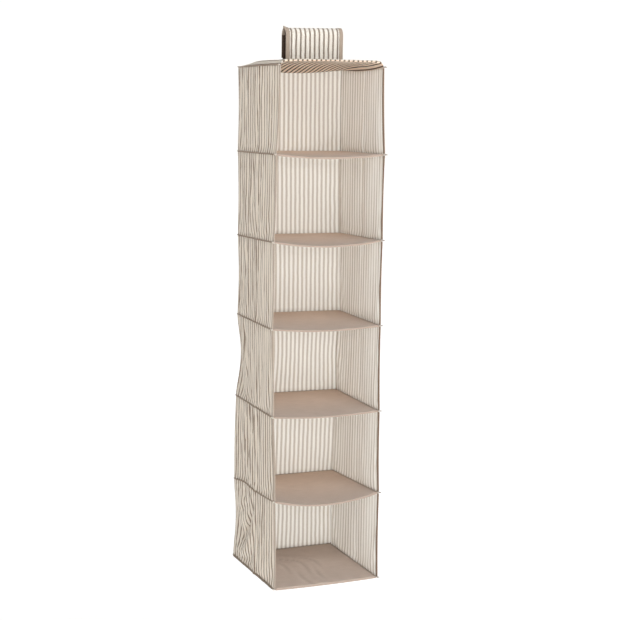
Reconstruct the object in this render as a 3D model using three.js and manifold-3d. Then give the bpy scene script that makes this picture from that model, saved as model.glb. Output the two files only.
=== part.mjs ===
// Hanging wardrobe organiser: six open-fronted fabric compartments below one wide strap that loops
// over a wardrobe rail. Units are millimetres. The origin is the rail's axis at the middle of the
// strap, +Z is up, +X runs along the rail and the open front faces -Y.

import * as THREE from 'three';
import { mergeVertices } from 'three/addons/utils/BufferGeometryUtils.js';
import Module from 'manifold-3d';

// ---------------------------------------------------------------- driving dimensions

const WIDTH = 300; // outside, along the rail
const DEPTH = 300; // outside, front edge to rear wall
const PITCH = 225; // one compartment, seam to seam
const COMPARTMENTS = 6;
const TOP_SEAM_Z = -82; // seam between the top panel and the walls, below the rail's axis

const GAP = 0.3; // clearance between neighbouring pieces
const CLOTH = 1.2; // wall cloth with its lining
const SKIN = 0.8; // one skin of a shelf's sleeve
const BOARD = 2; // stiffener inside a sleeve
const TAPE = 1; // binding tape, one leg
const TAPE_WIDTH = 7; // binding on the walls' front edges
const PIPING = 2; // raised seam round the outside at each shelf

const FRONT_SAG = [9, 13, 8, 7, 20, 0]; // droop of each shelf's front edge, top to bottom
const CROWN = 14; // the top panel is drawn up between its corners by the strap
const CROWN_FLATNESS = 10; // the higher, the closer to its sides the panel starts to drop
const REAR_DIP = 12; // and its rear edge droops

const STRAP_WIDTH = 158;
const STRAP = 2.4; // folded strap thickness
const STRAP_BINDING = 10;
const RAIL_RADIUS = 12.5; // the rail that the strap loops over
const LOOP_RADIUS = 14; // inside of the strap's bend
const HOOK_TAPE = 1.2;
const LOOP_TAPE = 1;
const FASTENER_HEIGHT = 35; // hook-and-loop overlap
const FASTENER_TOP_Z = -22;
const TAB_ABOVE_FASTENER = 2;
const FLAP_END_Z = -60;

// ---------------------------------------------------------------- derived places

const RIGHT = WIDTH / 2;
const REAR = DEPTH / 2;
const FRONT = -REAR;
const SLEEVE = BOARD + 2 * (SKIN + GAP);
const INSIDE_X = RIGHT - CLOTH - GAP;
const INSIDE_REAR = REAR - CLOTH - GAP;
const STRAP_X = STRAP_WIDTH / 2;
const BEND_Z = RAIL_RADIUS + GAP - LOOP_RADIUS;
const FLAP_TOP_Z = BEND_Z - GAP;
const STRAP_END_Z = TOP_SEAM_Z + CROWN + SLEEVE / 2 + GAP;

const ACROSS_STEPS = 8; // facets of a bent panel, left to right
const DEPTH_STEPS = 5; // and front to rear
const BEND_FACETS = 12; // round the rail

const seamZ = (level) => TOP_SEAM_Z - level * PITCH;

// ---------------------------------------------------------------- materials

function material(color, roughness) {
  return new THREE.MeshStandardMaterial({ color, roughness, metalness: 0 });
}

const stripedCloth = () => material('#d4c7ba', 0.9);
const shelfCloth = () => material('#a8917f', 0.9);
const bindingTape = () => material('#b0a08f', 0.85);
const pipingCord = () => material('#8f7c6c', 0.85);
const stiffener = () => material('#b9a27c', 0.8);
const hookAndLoop = () => material('#8c7d70', 0.95);

// ---------------------------------------------------------------- geometry helpers

const wasm = await Module();
wasm.setup();

function toSolid(geometry) {
  const bare = geometry.clone();
  bare.deleteAttribute('normal');
  bare.deleteAttribute('uv');
  const merged = mergeVertices(bare);
  const vertProperties = new Float32Array(merged.attributes.position.array);
  const triVerts = new Uint32Array(merged.index.array);
  return new wasm.Manifold(new wasm.Mesh({ numProp: 3, vertProperties, triVerts }));
}

function subtract(body, cutter) {
  const mesh = toSolid(body).subtract(toSolid(cutter)).getMesh();
  const geometry = new THREE.BufferGeometry();
  geometry.setAttribute('position', new THREE.BufferAttribute(mesh.vertProperties, 3));
  geometry.setIndex(new THREE.BufferAttribute(mesh.triVerts, 1));
  return geometry;
}

function extrude(outline, depth) {
  const shape = new THREE.Shape(outline.map(([a, b]) => new THREE.Vector2(a, b)));
  return new THREE.ExtrudeGeometry(shape, { depth, bevelEnabled: false });
}

// An outline in Y and Z, drawn out along X.
function extrudeAcross(outline, fromX, toX) {
  const turn = new THREE.Matrix4().makeBasis(
    new THREE.Vector3(0, 1, 0),
    new THREE.Vector3(0, 0, 1),
    new THREE.Vector3(1, 0, 0),
  );
  return extrude(outline, toX - fromX).applyMatrix4(turn).translate(fromX, 0, 0);
}

// An outline in X and Y, drawn upwards.
function extrudeUp(outline, fromZ, toZ) {
  return extrude(outline, toZ - fromZ).translate(0, 0, fromZ);
}

function block(lowX, highX, lowY, highY, lowZ, highZ) {
  const geometry = new THREE.BoxGeometry(highX - lowX, highY - lowY, highZ - lowZ);
  return geometry.translate((lowX + highX) / 2, (lowY + highY) / 2, (lowZ + highZ) / 2);
}

// A slab centred on z = 0 whose two faces both follow height(x, y) and share one pattern of
// triangles, so slabs that lie in each other stay an even distance apart. Its columns are closer
// together towards its sides.
function bentSlab([lowX, highX], [lowY, highY], thickness, height) {
  const positions = [];
  for (const z of [-thickness / 2, thickness / 2]) {
    for (let row = 0; row <= DEPTH_STEPS; row += 1) {
      for (let column = 0; column <= ACROSS_STEPS; column += 1) {
        const across = 0.5 - Math.cos((Math.PI * column) / ACROSS_STEPS) / 2;
        const x = THREE.MathUtils.lerp(lowX, highX, across);
        const y = THREE.MathUtils.lerp(lowY, highY, row / DEPTH_STEPS);
        positions.push(x, y, z + height(x, y));
      }
    }
  }
  const perRow = ACROSS_STEPS + 1;
  const below = (row, column) => row * perRow + column;
  const above = (row, column) => below(row + DEPTH_STEPS + 1, column);
  const index = [];
  const quad = (a, b, c, d) => index.push(a, b, c, a, c, d);
  for (let row = 0; row < DEPTH_STEPS; row += 1) {
    for (let column = 0; column < ACROSS_STEPS; column += 1) {
      const corners = [[row, column], [row, column + 1], [row + 1, column + 1], [row + 1, column]];
      const [a, b, c, d] = corners.map((corner) => below(...corner));
      quad(a, d, c, b);
      quad(...corners.map((corner) => above(...corner)));
    }
  }
  for (let column = 0; column < ACROSS_STEPS; column += 1) {
    const next = column + 1;
    const last = DEPTH_STEPS;
    quad(below(0, column), below(0, next), above(0, next), above(0, column));
    quad(below(last, next), below(last, column), above(last, column), above(last, next));
  }
  for (let row = 0; row < DEPTH_STEPS; row += 1) {
    const next = row + 1;
    const last = ACROSS_STEPS;
    quad(below(next, 0), below(row, 0), above(row, 0), above(next, 0));
    quad(below(row, last), below(next, last), above(next, last), above(row, last));
  }
  const geometry = new THREE.BufferGeometry();
  geometry.setAttribute('position', new THREE.Float32BufferAttribute(positions, 3));
  geometry.setIndex(index);
  return geometry;
}

// ---------------------------------------------------------------- scene graph

const organiser = new THREE.Group();

function addPiece(name, geometry, look, z = 0) {
  const mesh = new THREE.Mesh(geometry, look);
  mesh.name = name;
  mesh.position.z = z;
  organiser.add(mesh);
}

// ---------------------------------------------------------------- shelves and top panel

// A sleeve of cloth folded round its front edge and open behind, where the board slides in.
function sleeve(height) {
  const outside = bentSlab([-INSIDE_X, INSIDE_X], [FRONT, INSIDE_REAR], SLEEVE, height);
  const pocketX = INSIDE_X - SKIN;
  const pocketY = [FRONT + SKIN, INSIDE_REAR + SKIN];
  const pocket = bentSlab([-pocketX, pocketX], pocketY, SLEEVE - 2 * SKIN, height);
  return subtract(outside, pocket);
}

function board(height) {
  const boardX = INSIDE_X - SKIN - GAP;
  return bentSlab([-boardX, boardX], [FRONT + SKIN + GAP, INSIDE_REAR], BOARD, height);
}

// A shelf is held along both sides and the rear, so it droops most at the middle of its front.
function shelfDroop(sag) {
  return (x, y) => {
    const across = 1 - (x / INSIDE_X) ** 2;
    const forward = (INSIDE_REAR - y) / (INSIDE_REAR - FRONT);
    const towardsFront = Math.sin((forward * Math.PI) / 2);
    return -sag * across * towardsFront;
  };
}

function topCrown(x, y) {
  const across = 1 - Math.abs(x / INSIDE_X) ** CROWN_FLATNESS;
  const behind = Math.max(0, y / INSIDE_REAR);
  return across * (CROWN - (CROWN + REAR_DIP) * behind ** 2);
}

function addShelf(level) {
  const name = level === COMPARTMENTS ? 'bottom' : `shelf_${level}`;
  const droop = shelfDroop(FRONT_SAG[level - 1]);
  addPiece(`${name}_cover`, sleeve(droop), shelfCloth(), seamZ(level));
  addPiece(`${name}_board`, board(droop), stiffener(), seamZ(level));
}

function addTopPanel() {
  addPiece('top_cover', sleeve(topCrown), stripedCloth(), seamZ(0));
  addPiece('top_board', board(topCrown), stiffener(), seamZ(0));
}

// ---------------------------------------------------------------- walls, bindings and seams

function addWalls(compartment) {
  const low = seamZ(compartment) + GAP / 2;
  const high = seamZ(compartment - 1) - GAP / 2;
  const frontEdge = FRONT + TAPE + GAP;
  const side = (x) => block(x, x + CLOTH, frontEdge, INSIDE_REAR, low, high);
  const rear = block(-RIGHT, RIGHT, REAR - CLOTH, REAR, low, high);
  addPiece(`left_wall_${compartment}`, side(-RIGHT), stripedCloth());
  addPiece(`right_wall_${compartment}`, side(RIGHT - CLOTH), stripedCloth());
  addPiece(`rear_wall_${compartment}`, rear, stripedCloth());
}

// Tape folded round a wall's front edge: a channel in plan, open to the rear.
function edgeBinding(wallX, low, high) {
  const inner = [wallX - GAP, wallX + CLOTH + GAP];
  const outer = [inner[0] - TAPE, inner[1] + TAPE];
  const mouth = FRONT + TAPE_WIDTH;
  const fold = FRONT + TAPE;
  const outline = [
    [outer[0], FRONT],
    [outer[1], FRONT],
    [outer[1], mouth],
    [inner[1], mouth],
    [inner[1], fold],
    [inner[0], fold],
    [inner[0], mouth],
    [outer[0], mouth],
  ];
  return extrudeUp(outline, low, high);
}

function addBindings(compartment) {
  const clearance = SLEEVE / 2 + 1;
  const low = seamZ(compartment) + clearance;
  const high = seamZ(compartment - 1) - clearance;
  const left = edgeBinding(-RIGHT, low, high);
  const right = edgeBinding(RIGHT - CLOTH, low, high);
  addPiece(`left_binding_${compartment}`, left, bindingTape());
  addPiece(`right_binding_${compartment}`, right, bindingTape());
}

// The raised seam that runs outside the left, rear and right walls at one level.
function addPiping(level) {
  const innerX = RIGHT + GAP;
  const outerX = innerX + PIPING;
  const innerY = REAR + GAP;
  const outerY = innerY + PIPING;
  const outline = [
    [-outerX, FRONT],
    [-innerX, FRONT],
    [-innerX, innerY],
    [innerX, innerY],
    [innerX, FRONT],
    [outerX, FRONT],
    [outerX, outerY],
    [-outerX, outerY],
  ];
  const middle = seamZ(level);
  const geometry = extrudeUp(outline, middle - PIPING / 2, middle + PIPING / 2);
  addPiece(`seam_piping_${level}`, geometry, pipingCord());
}

// ---------------------------------------------------------------- strap

// The strap's section: up in front of the rail, over it, and down to where the flap begins.
// grow thickens it on both faces.
function strapOutline(grow, frontEndZ, rearEndZ) {
  const bend = (radius, from, to) =>
    Array.from({ length: BEND_FACETS + 1 }, (_, i) => {
      const angle = from + ((to - from) * i) / BEND_FACETS;
      return [radius * Math.cos(angle), BEND_Z + radius * Math.sin(angle)];
    });
  const inner = LOOP_RADIUS - grow;
  const outer = LOOP_RADIUS + STRAP + grow;
  return [
    [-outer, frontEndZ],
    [-inner, frontEndZ],
    ...bend(inner, Math.PI, 0),
    [inner, rearEndZ],
    [outer, rearEndZ],
    ...bend(outer, 0, Math.PI),
  ];
}

function flapOutline(grow, topZ, endZ) {
  const inner = LOOP_RADIUS - grow;
  const outer = LOOP_RADIUS + STRAP + grow;
  return [
    [inner, endZ],
    [outer, endZ],
    [outer, topZ],
    [inner, topZ],
  ];
}

// Tape folded round one long edge of the strap or its flap. side is -1 for left, 1 for right.
function strapBinding(side, outer, clearance) {
  const span = (from, to) => (side > 0 ? [from, to] : [-to, -from]);
  const tape = extrudeAcross(outer, ...span(STRAP_X - STRAP_BINDING, STRAP_X));
  const slot = extrudeAcross(clearance, ...span(STRAP_X - 2 * STRAP_BINDING, STRAP_X - TAPE));
  return subtract(tape, slot);
}

function addStrap() {
  const clothX = STRAP_X - TAPE - GAP;
  const strap = extrudeAcross(strapOutline(0, STRAP_END_Z, BEND_Z), -clothX, clothX);
  const flap = extrudeAcross(flapOutline(0, FLAP_TOP_Z, FLAP_END_Z), -clothX, clothX);
  addPiece('hanging_strap', strap, stripedCloth());
  addPiece('strap_flap', flap, stripedCloth());
}

function addStrapBindings() {
  const wrap = GAP + TAPE;
  const past = 5; // the slots run on past both ends of the tape
  const strapTape = strapOutline(wrap, STRAP_END_Z, BEND_Z);
  const strapSlot = strapOutline(GAP, STRAP_END_Z - past, BEND_Z - past);
  const flapTape = flapOutline(wrap, FLAP_TOP_Z, FLAP_END_Z);
  const flapSlot = flapOutline(GAP, FLAP_TOP_Z + past, FLAP_END_Z - past);
  for (const [name, side] of [['left', -1], ['right', 1]]) {
    addPiece(`strap_binding_${name}`, strapBinding(side, strapTape, strapSlot), bindingTape());
    addPiece(`flap_binding_${name}`, strapBinding(side, flapTape, flapSlot), bindingTape());
  }
}

// Behind the rail the flap closes on a short tab of the top panel with hook-and-loop tape.
function addFastener() {
  const tapeX = STRAP_X - STRAP_BINDING - 2 * GAP;
  const lowZ = FASTENER_TOP_Z - FASTENER_HEIGHT;
  const tabTopZ = FASTENER_TOP_Z + TAB_ABOVE_FASTENER;
  const hookRear = LOOP_RADIUS - GAP;
  const hookFront = hookRear - HOOK_TAPE;
  const loopRear = hookFront - GAP;
  const loopFront = loopRear - LOOP_TAPE;
  const tabRear = loopFront - GAP;
  const tabFront = tabRear - CLOTH;
  const hook = block(-tapeX, tapeX, hookFront, hookRear, lowZ, FASTENER_TOP_Z);
  const loop = block(-tapeX, tapeX, loopFront, loopRear, lowZ, FASTENER_TOP_Z);
  const tab = block(-STRAP_X, STRAP_X, tabFront, tabRear, STRAP_END_Z, tabTopZ);
  addPiece('hook_tape', hook, hookAndLoop());
  addPiece('loop_tape', loop, hookAndLoop());
  addPiece('strap_tab', tab, shelfCloth());
}

// ---------------------------------------------------------------- assembly

addStrap();
addStrapBindings();
addFastener();
addTopPanel();
addPiping(0);
for (let level = 1; level <= COMPARTMENTS; level += 1) {
  addWalls(level);
  addBindings(level);
  addShelf(level);
  addPiping(level);
}

export default organiser;
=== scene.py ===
import math

import bpy
import numpy as np
from mathutils import Matrix, Vector


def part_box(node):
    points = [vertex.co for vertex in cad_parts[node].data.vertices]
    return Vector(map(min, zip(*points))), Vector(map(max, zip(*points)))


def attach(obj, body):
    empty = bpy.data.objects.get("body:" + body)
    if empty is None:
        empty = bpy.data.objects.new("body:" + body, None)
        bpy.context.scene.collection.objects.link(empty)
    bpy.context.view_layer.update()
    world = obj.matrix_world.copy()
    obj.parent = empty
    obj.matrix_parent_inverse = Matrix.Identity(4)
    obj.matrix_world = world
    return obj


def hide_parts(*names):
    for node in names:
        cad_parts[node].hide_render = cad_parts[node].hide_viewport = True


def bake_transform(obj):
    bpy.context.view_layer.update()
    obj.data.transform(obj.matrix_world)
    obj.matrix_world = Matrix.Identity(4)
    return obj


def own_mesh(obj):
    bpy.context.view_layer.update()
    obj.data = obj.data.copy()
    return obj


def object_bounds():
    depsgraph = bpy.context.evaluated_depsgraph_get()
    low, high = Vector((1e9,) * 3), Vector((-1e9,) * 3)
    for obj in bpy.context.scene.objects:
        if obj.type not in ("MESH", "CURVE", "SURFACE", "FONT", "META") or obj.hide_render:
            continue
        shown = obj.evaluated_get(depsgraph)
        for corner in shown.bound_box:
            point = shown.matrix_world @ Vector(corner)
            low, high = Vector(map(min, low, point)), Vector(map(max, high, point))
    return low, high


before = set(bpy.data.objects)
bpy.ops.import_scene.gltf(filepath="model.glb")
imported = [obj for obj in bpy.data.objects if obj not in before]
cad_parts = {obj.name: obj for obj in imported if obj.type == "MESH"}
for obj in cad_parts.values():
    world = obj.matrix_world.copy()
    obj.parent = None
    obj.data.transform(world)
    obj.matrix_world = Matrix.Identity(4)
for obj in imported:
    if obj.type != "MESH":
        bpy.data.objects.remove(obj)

CAD_LOW, CAD_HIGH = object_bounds()
MM = 0.001

# ---- sizes, in metres, from the frame

COMPARTMENTS = 6
LEVELS = range(COMPARTMENTS + 1)


def middle_z(node):
    low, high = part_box(node)
    return (low.z + high.z) / 2


SEAM_Z = [middle_z(f"seam_piping_{level}") for level in LEVELS]
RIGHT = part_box("right_wall_1")[1].x
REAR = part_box("rear_wall_1")[1].y
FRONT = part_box("seam_piping_0")[0].y
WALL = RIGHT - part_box("right_wall_1")[0].x
COVER_LOW, COVER_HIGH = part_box("bottom_cover")
INSIDE_X = COVER_HIGH.x
INSIDE_REAR = COVER_HIGH.y
PITCH = SEAM_Z[0] - SEAM_Z[1]
DEPTH = REAR - FRONT
SLEEVE = COVER_HIGH.z - COVER_LOW.z
BOARD_LOW, BOARD_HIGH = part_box("bottom_board")
BOARD = BOARD_HIGH.z - BOARD_LOW.z
BOARD_X = BOARD_HIGH.x
BOARD_FRONT = BOARD_LOW.y
TAPE_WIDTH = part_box("left_binding_1")[1].y - FRONT


def level_body(level):
    return "hanger" if level == 0 else f"level_{level}"


def shelf_name(level):
    return "bottom" if level == COMPARTMENTS else f"shelf_{level}"


def shelf_sag(level):
    low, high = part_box(f"{shelf_name(level)}_cover")
    return high.z - low.z - SLEEVE


STRIPE_PITCH = 13 * MM
SIDE_STRIPES = 16.5 / 13  # the stripes of the side walls are this much further apart
CLOTH = 0.9 * MM
TAPE = 0.7 * MM

# How the hanging object has settled, level by level from the top seam to the bottom panel.
TWIST_DEG = (0, -0.3, -1.3, -1.7, -0.3, 1.6, 2.3)
LIFT_MM = (0, 0.5, 0.7, 5, 3, -0.7, -0.7)
FRONT_DROP_MM = (0, 0, -2, 1.4, 3, -3, 6.4)
# How far the rear corners of each compartment are drawn inwards between its two seams.
CORNER_PINCH_MM = (2, 1.5, 3, 12, -1.5, 6)
RIGHT_PINCH = 0.4  # the share of that at the right corner
RIGHT_FOLDS = 0.15  # the share of the left walls' folds that the smoother right walls have
CREASE_AT = 0.47  # the fold down each side wall, as a share of the depth
CREASE_OUT = 2.5 * MM  # how far it stands out
FRONT_EDGE_IN = 1.5 * MM  # how far the front edges bow inwards
FRONT_DRAWN_IN = 0.05  # the share by which the strap draws the top seam's front corners in
TOP_RIGHT_DIP_MM = 7  # the top seam sags along its right side
LEFT_SEAM_ARCH_MM = 8  # and the lowest shelf's seam arches on the left, towards the rear

# ---- noise and cloth surfaces

LATTICE = 61


def smooth(t):
    t = np.clip(t, 0, 1)
    return t * t * (3 - 2 * t)


def noise(u, v, seed):
    """Smooth noise from -1 to 1, one lattice cell to a unit."""
    u, v = np.broadcast_arrays(np.asarray(u, float), np.asarray(v, float))
    table = np.random.default_rng(seed).uniform(-1, 1, (LATTICE, LATTICE))
    i, j = np.floor(u).astype(int), np.floor(v).astype(int)
    fu, fv = smooth(u - i), smooth(v - j)
    corner = [[table[(i + a) % LATTICE, (j + b) % LATTICE] for b in (0, 1)] for a in (0, 1)]
    low = corner[0][0] * (1 - fu) + corner[1][0] * fu
    high = corner[0][1] * (1 - fu) + corner[1][1] * fu
    return low * (1 - fv) + high * fv


def bump(t, centre, width):
    return np.exp(-(((t - centre) / width) ** 2))


def unit(vectors):
    """The same directions, each one unit long."""
    return vectors / np.maximum(np.linalg.norm(vectors, axis=-1, keepdims=True), 1e-12)


def run_length(line):
    """How far along a line of points each of them lies."""
    return np.concatenate([[0], np.cumsum(np.linalg.norm(np.diff(line, axis=0), axis=1))])


def read_along(places, length, vectors):
    """Vectors given at some lengths along a line, read at other places on it."""
    return np.stack([np.interp(places, length, vectors[:, k]) for k in range(3)], axis=1)


def hang(level, x, y, z):
    """A point of the straight design at one seam level, moved to where it hangs once settled."""
    twist = math.radians(TWIST_DEG[level])
    across, back = x / RIGHT, y / REAR
    forward = np.clip(-back, 0, 1)
    rise = LIFT_MM[level] * MM + FRONT_DROP_MM[level] * MM * back
    if level == 0:
        x = x * (1 - FRONT_DRAWN_IN * forward)
        sag = np.clip(across, 0, 1) ** 2 * (1 - np.clip(back, -1, 1) ** 2)
        rise = rise - TOP_RIGHT_DIP_MM * MM * sag
    if level == COMPARTMENTS - 1:
        arch = bump(back, 0.5, 0.4) * np.clip(-across, 0, 1) ** 2
        rise = rise + LEFT_SEAM_ARCH_MM * MM * arch
    return np.stack([x - twist * y, y + twist * x, z + rise], axis=-1)


def straight_wall(compartment, x, y, t):
    """A wall before it folds, from the seam below it, where t is 0, to the seam above, 1."""
    low = hang(compartment, x, y, SEAM_Z[compartment])
    high = hang(compartment - 1, x, y, SEAM_Z[compartment - 1])
    return low + (high - low) * t[..., None]


def fold_line(u, v, start, end, width):
    """1 on a line between two points of a wall, in metres, and smoothly less to either side."""
    (u0, v0), (u1, v1) = start, end
    du, dv = u1 - u0, v1 - v0
    along = np.clip(((u - u0) * du + (v - v0) * dv) / (du * du + dv * dv), 0, 1)
    off = np.hypot(u - u0 - along * du, v - v0 - along * dv)
    return np.exp(-((off / width) ** 2)) * np.sin(math.pi * (0.1 + 0.8 * along))


# Deep slanting folds in the left walls, in millimetres: compartment, start and end as distances
# from the front and from the bottom, half width, and how far the cloth goes in.
SLANTING_FOLDS = (
    (6, (150, 178), (276, 38), 22, 15),
    (6, (205, 112), (232, 92), 7, 5),
    (6, (175, 190), (285, 150), 16, -8),
    (5, (190, 215), (225, 20), 13, 5),
    (5, (120, 190), (150, 30), 12, 4),
    (4, (262, 215), (215, 90), 14, 6),
    (3, (215, 200), (280, 12), 15, 5),
    (2, (170, 210), (190, 40), 12, 3),
    (1, (120, 215), (150, 30), 12, 4),
)


def slanting_folds(compartment, u, v):
    depth = 0
    for where, start, end, width, inwards in SLANTING_FOLDS:
        if where == compartment:
            ends = [np.array(point) * MM for point in (start, end)]
            depth = depth + inwards * MM * fold_line(u, v, *ends, width * MM)
    return depth


def normals_of(points):
    """Unit normals of a grid of points: rows by columns by 3."""
    along_rows = np.gradient(points, axis=0)
    along_columns = np.gradient(points, axis=1)
    return unit(np.cross(along_columns, along_rows))


def side_wall(compartment, side):
    """The surface of a side wall: s runs from the front to the rear, t from the bottom up."""
    seed = 100 * compartment + (10 if side > 0 else 20)
    pinch = CORNER_PINCH_MM[compartment - 1] * MM * (1 if side < 0 else RIGHT_PINCH)

    def surface(s, t):
        x = np.full(np.shape(s), side * (RIGHT - WALL / 2))
        y = FRONT + s * (REAR - WALL - FRONT)
        points = straight_wall(compartment, x, y, t)
        u, v = s * DEPTH, t * PITCH
        free = smooth(t / 0.12) * smooth((1 - t) / 0.12)
        waist = np.sin(np.pi * t)
        folds = 1.6 * noise(u / (17 * MM), v / (240 * MM), seed)
        folds = folds + 0.8 * noise(u / (8 * MM), v / (120 * MM), seed + 1)
        lean = u + 0.15 * v
        pleat = 1 - np.abs(noise(lean / (19 * MM) + 3, v / (320 * MM) + 2, seed + 3))
        rearwards = 0.35 + 0.65 * smooth((s - 0.12) / 0.3)
        folds = (folds - 2.6 * pleat**5) * (rearwards if side < 0 else RIGHT_FOLDS)
        broad = 2.5 * noise(u / (90 * MM), v / (80 * MM) + 5, seed + 2)
        out = (folds * (0.35 + 0.65 * free) + broad * free) * MM * smooth(s / 0.05)
        out = out - FRONT_EDGE_IN * waist * (1 - s) ** 2
        out = out + CREASE_OUT * bump(s, CREASE_AT, 0.018) * (1 - 0.5 * waist)
        out = out * (1 - smooth((s - 0.97) / 0.03))
        inward = pinch * waist**1.5 * smooth((s - 0.35) / 0.65)
        if side < 0:
            out = out - slanting_folds(compartment, u, v) * smooth(s / 0.1) * smooth((1 - s) / 0.06)
        points[..., 0] += side * (out - inward)
        return points

    return surface


def rear_wall(compartment):
    """The surface of a rear wall: s runs from the left to the right, t from the bottom up."""
    seed = 100 * compartment + 30
    pinch = CORNER_PINCH_MM[compartment - 1] * MM

    def surface(s, t):
        x = -RIGHT + s * 2 * RIGHT
        y = np.full(np.shape(s), REAR - WALL / 2)
        points = straight_wall(compartment, x, y, t)
        u, v = s * 2 * RIGHT, t * PITCH
        free = smooth(t / 0.15) * smooth((1 - t) / 0.15)
        ends = smooth(s / 0.06) * smooth((1 - s) / 0.06)
        folds = 0.9 * noise(u / (26 * MM), v / (120 * MM), seed)
        folds = folds + 0.5 * noise(u / (11 * MM), v / (50 * MM), seed + 1)
        broad = 2.5 * noise(u / (110 * MM), v / (90 * MM) + 3, seed + 2)
        points[..., 1] += (folds * (0.3 + 0.7 * free) + broad * free) * MM * ends
        inward = pinch * np.sin(np.pi * t) ** 1.5
        points[..., 0] += inward * (1 - s) ** 2 - RIGHT_PINCH * inward * s**2
        return points

    return surface


# ---- cloth that settles under its weight

WALL_COLUMNS = 91
WALL_ROWS = 64
SETTLE_SCALE = 10  # Blender's cloth behaves best at a few metres across
SETTLE_FRAMES = 22
SLACK_ACROSS = 1.03  # a panel is cut this much wider than the gap it is sewn into
SLACK_DOWN = (1.002, 1.002, 1.004, 1.006, 1.007, 1.01)  # and this much taller, by compartment


def new_object(name, data):
    made = bpy.data.objects.new(name, data)
    bpy.context.scene.collection.objects.link(made)
    return made


def settle(points, width, height):
    """A panel held along its four edges hangs and folds. It was cut width by height."""
    rows, columns = points.shape[:2]
    mesh = bpy.data.meshes.new("settling")
    start = points.reshape(-1, 3) * SETTLE_SCALE
    mesh.from_pydata([tuple(p) for p in start], [], grid_faces(rows, columns))
    panel = new_object("settling", mesh)
    panel.shape_key_add(name="Start")
    cut = panel.shape_key_add(name="Cut")
    u, v = np.meshgrid(np.linspace(0, width, columns), np.linspace(0, height, rows))
    flat = np.stack([0 * u, u, v], axis=-1) * SETTLE_SCALE
    cut.data.foreach_set("co", flat.astype(np.float32).ravel())
    cut.value = 0
    index = np.arange(rows * columns).reshape(rows, columns)
    held = np.unique(np.concatenate([index[0], index[-1], index[:, 0], index[:, -1]]))
    panel.vertex_groups.new(name="Held").add(held.tolist(), 1.0, "REPLACE")
    modifier = panel.modifiers.new("Cloth", "CLOTH")
    modifier.collision_settings.use_collision = False
    modifier.collision_settings.use_self_collision = False
    modifier.point_cache.frame_start = 1
    modifier.point_cache.frame_end = SETTLE_FRAMES
    cotton = modifier.settings
    cotton.quality = 6
    cotton.mass = 0.2
    cotton.tension_stiffness = cotton.compression_stiffness = 60
    cotton.shear_stiffness = 18
    cotton.bending_stiffness = 1
    cotton.air_damping = 2
    cotton.vertex_group_mass = "Held"
    cotton.rest_shape_key = cut
    for number in range(1, SETTLE_FRAMES + 1):
        bpy.context.scene.frame_set(number)
    hanging = panel.evaluated_get(bpy.context.evaluated_depsgraph_get())
    settled = np.zeros(rows * columns * 3, np.float32)
    hanging.data.vertices.foreach_get("co", settled)
    bpy.data.objects.remove(panel)
    bpy.data.meshes.remove(mesh)
    bpy.context.scene.frame_set(1)
    return settled.reshape(rows, columns, 3).astype(float) / SETTLE_SCALE


def sampled(points):
    """A surface that runs through a grid of points."""
    rows, columns = points.shape[:2]

    def surface(s, t):
        across, up = np.clip(s, 0, 1) * (columns - 1), np.clip(t, 0, 1) * (rows - 1)
        i = np.minimum(across.astype(int), columns - 2)
        j = np.minimum(up.astype(int), rows - 2)
        a, b = (across - i)[..., None], (up - j)[..., None]
        low = points[j, i] * (1 - a) + points[j, i + 1] * a
        high = points[j + 1, i] * (1 - a) + points[j + 1, i + 1] * a
        return low * (1 - b) + high * b

    return surface


def hung(surface, compartment, width):
    """The surface of a wall once its cloth has settled."""
    s, t = np.meshgrid(np.linspace(0, 1, WALL_COLUMNS), np.linspace(0, 1, WALL_ROWS))
    points = surface(s, t)
    points = settle(points, width * SLACK_ACROSS, PITCH * SLACK_DOWN[compartment - 1])
    return sampled(points)


# ---- meshes


def new_piece(name, vertices, faces, uvs, material):
    """A smooth mesh object. uvs holds one pair to a vertex, in metres of cloth, or is None."""
    mesh = bpy.data.meshes.new(name)
    mesh.from_pydata([tuple(p) for p in vertices], [], faces)
    if uvs is not None:
        layer = mesh.uv_layers.new(name="Cloth")
        index = np.zeros(len(mesh.loops), np.int32)
        mesh.loops.foreach_get("vertex_index", index)
        layer.data.foreach_set("uv", np.asarray(uvs, np.float32)[index].ravel())
    mesh.polygons.foreach_set("use_smooth", np.ones(len(mesh.polygons), bool))
    mesh.update()
    mesh.materials.append(material)
    return new_object(name, mesh)


def grid_faces(rows, columns, offset=0, flip=False):
    faces = []
    for row in range(rows - 1):
        for column in range(columns - 1):
            a = offset + row * columns + column
            quad = (a, a + 1, a + columns + 1, a + columns)
            faces.append(quad[::-1] if flip else quad)
    return faces


def cloth(name, points, uvs, thickness, material):
    """A closed sheet of cloth from a grid of points on its middle surface."""
    rows, columns = points.shape[:2]
    offset = normals_of(points) * thickness / 2
    outer = (points + offset).reshape(-1, 3)
    inner = (points - offset).reshape(-1, 3)
    count = rows * columns
    faces = grid_faces(rows, columns) + grid_faces(rows, columns, count, flip=True)
    index = np.arange(count).reshape(rows, columns)
    sides = [index[0], index[1:, -1], index[-1, -2::-1], index[-2:0:-1, 0]]
    edge = np.concatenate(sides).tolist()
    for a, b in zip(edge, edge[1:] + edge[:1]):
        faces.append((a, a + count, b + count, b))
    flat = uvs.reshape(-1, 2)
    return new_piece(name, np.vstack([outer, inner]), faces, np.vstack([flat, flat]), material)


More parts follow.
